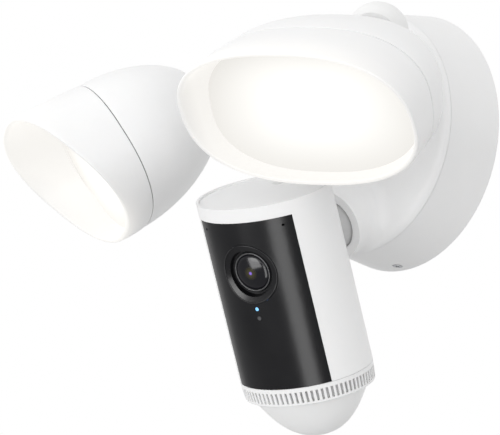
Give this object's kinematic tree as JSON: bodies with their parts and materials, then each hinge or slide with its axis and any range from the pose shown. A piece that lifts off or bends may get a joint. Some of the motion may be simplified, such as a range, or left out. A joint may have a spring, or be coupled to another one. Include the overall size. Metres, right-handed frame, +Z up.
{
  "type": "floodlight security camera",
  "caption": "Wall-mounted floodlight with two oval lamp heads and an oval-section camera, each on its own ball joint on a round base.",
  "frame": {"origin": "centre of the base's back face, on the wall plane", "axes": "+Z up, -Y out of the wall towards the yard, +X to the right seen from the front"},
  "size_m": [0.2832, 0.1865, 0.2166],
  "materials": {
    "white_plastic": "satin injection-moulded white",
    "white_socket": "satin white, polished where the ball runs",
    "grey_seat": "dark grey acetal",
    "ball_plastic": "satin light grey glass-filled nylon",
    "black_rubber": "matte",
    "grey_foam": "closed-cell foam",
    "black_gloss": "polished smoked black",
    "black_plastic": "fine-textured black",
    "lens_glass": "coated dark glass with a violet sheen",
    "warm_diffuser": "frosted opal, lit",
    "white_reflector": "bright white",
    "zinc_steel": "zinc plated",
    "bracket_steel": "zinc-plated sheet",
    "cast_aluminium": "as cast",
    "white_board": "white solder resist",
    "green_board": "green solder resist",
    "black_wire": "insulated wire",
    "white_wire": "insulated wire",
    "green_wire": "insulated wire",
    "terminal_plastic": "moulded orange-brown",
    "coil_tape": "yellow tape over ferrite",
    "status_blue": "light pipe, lit blue",
    "sensor_grey": "smoked window",
    "dome_white": "satin white translucent polyethylene",
    "button_white": "satin white",
    "mesh_grey": "woven light grey acoustic mesh"
  },
  "bodies": {
    "base": {"wall_bracket": "bracket_steel", "side_screws": "zinc_steel", "ground_screw": "green_wire", "base_gasket": "grey_foam", "base_housing": "white_plastic", "front_cover": "white_plastic", "cover_screws": "zinc_steel", "power_board": "green_board", "transformer": "coil_tape", "terminal_block": "terminal_plastic", "live_wire": "black_wire", "neutral_wire": "white_wire", "earth_wire": "green_wire", "siren_speaker": "black_plastic", "arm_nuts": "zinc_steel", "right_lamp_arm": "white_socket", "left_lamp_arm": "white_socket"},
    "camera_seat": {"camera_swivel_seat": "grey_seat"},
    "camera_ball": {"camera_ball_stem": "ball_plastic", "camera_stem_nut": "zinc_steel"},
    "camera": {"camera_housing": "white_plastic", "camera_top_cap": "white_plastic", "camera_face_plate": "black_gloss", "lens_bezel": "black_gloss", "lens_barrel": "black_plastic", "lens_glass": "lens_glass", "image_sensor": "green_board", "status_light_pipe": "status_blue", "light_sensor": "sensor_grey", "infrared_leds": "sensor_grey", "camera_main_board": "green_board", "vent_ring": "white_plastic", "vent_mesh": "mesh_grey", "camera_speaker": "black_plastic", "motion_dome": "dome_white", "motion_sensor_board": "green_board", "camera_screws": "zinc_steel"},
    "setup_button": {"setup_button": "button_white"},
    "right_lamp_seat": {"right_lamp_swivel_seat": "grey_seat"},
    "right_lamp_ball": {"right_lamp_ball_stem": "ball_plastic", "right_lamp_stem_nut": "zinc_steel"},
    "right_lamp": {"right_lamp_housing": "white_plastic", "right_lamp_seal": "black_rubber", "right_lamp_bezel": "white_plastic", "right_lamp_diffuser": "warm_diffuser", "right_lamp_reflector": "white_reflector", "right_lamp_led_board": "white_board", "right_lamp_heat_sink": "cast_aluminium", "right_lamp_screws": "zinc_steel"},
    "left_lamp_seat": {"left_lamp_swivel_seat": "grey_seat"},
    "left_lamp_ball": {"left_lamp_ball_stem": "ball_plastic", "left_lamp_stem_nut": "zinc_steel"},
    "left_lamp": {"left_lamp_housing": "white_plastic", "left_lamp_seal": "black_rubber", "left_lamp_bezel": "white_plastic", "left_lamp_diffuser": "warm_diffuser", "left_lamp_reflector": "white_reflector", "left_lamp_led_board": "white_board", "left_lamp_heat_sink": "cast_aluminium", "left_lamp_screws": "zinc_steel"}
  },
  "joints": [
    {"name": "right_lamp_pan", "type": "hinge", "parent": "base", "child": "right_lamp_seat", "pos_m": [0.0512, -0.0689, 0.0258], "axis": [0, 0, 1], "range_deg": [-7, 30]},
    {"name": "right_lamp_tilt", "type": "hinge", "parent": "right_lamp_seat", "child": "right_lamp_ball", "pos_m": [0.0512, -0.0689, 0.0258], "axis": [0.9553, 0.2957, 0], "range_deg": [-25, 5]},
    {"name": "right_lamp_roll", "type": "hinge", "parent": "right_lamp_ball", "child": "right_lamp", "pos_m": [0.0512, -0.0689, 0.0258], "axis": [0.2407, -0.7777, -0.5807], "range_deg": [-20, 12]},
    {"name": "left_lamp_pan", "type": "hinge", "parent": "base", "child": "left_lamp_seat", "pos_m": [-0.0512, -0.0689, 0.0258], "axis": [0, 0, 1], "range_deg": [-18, 22]},
    {"name": "left_lamp_tilt", "type": "hinge", "parent": "left_lamp_seat", "child": "left_lamp_ball", "pos_m": [-0.0512, -0.0689, 0.0258], "axis": [0.8221, -0.5693, 0], "range_deg": [-25, 14]},
    {"name": "left_lamp_roll", "type": "hinge", "parent": "left_lamp_ball", "child": "left_lamp", "pos_m": [-0.0512, -0.0689, 0.0258], "axis": [-0.4791, -0.6918, -0.5402], "range_deg": [-14, 14]},
    {"name": "camera_pan", "type": "hinge", "parent": "base", "child": "camera_seat", "pos_m": [0, -0.0472, -0.0475], "axis": [0, 0, 1], "range_deg": [-25, 20]},
    {"name": "camera_tilt", "type": "hinge", "parent": "camera_seat", "child": "camera_ball", "pos_m": [0, -0.0472, -0.0475], "axis": [0.9839, 0.1788, 0], "range_deg": [-6, 14]},
    {"name": "camera_roll", "type": "hinge", "parent": "camera_ball", "child": "camera", "pos_m": [0, -0.0472, -0.0475], "axis": [0.1542, -0.8486, -0.506], "range_deg": [-14, 14]},
    {"name": "setup_button_press", "type": "slide", "parent": "camera", "child": "setup_button", "axis": [0.1818, -0.479, 0.8588], "range_m": [-0.0008, 0], "stiffness_N_per_m": 400}
  ]
}
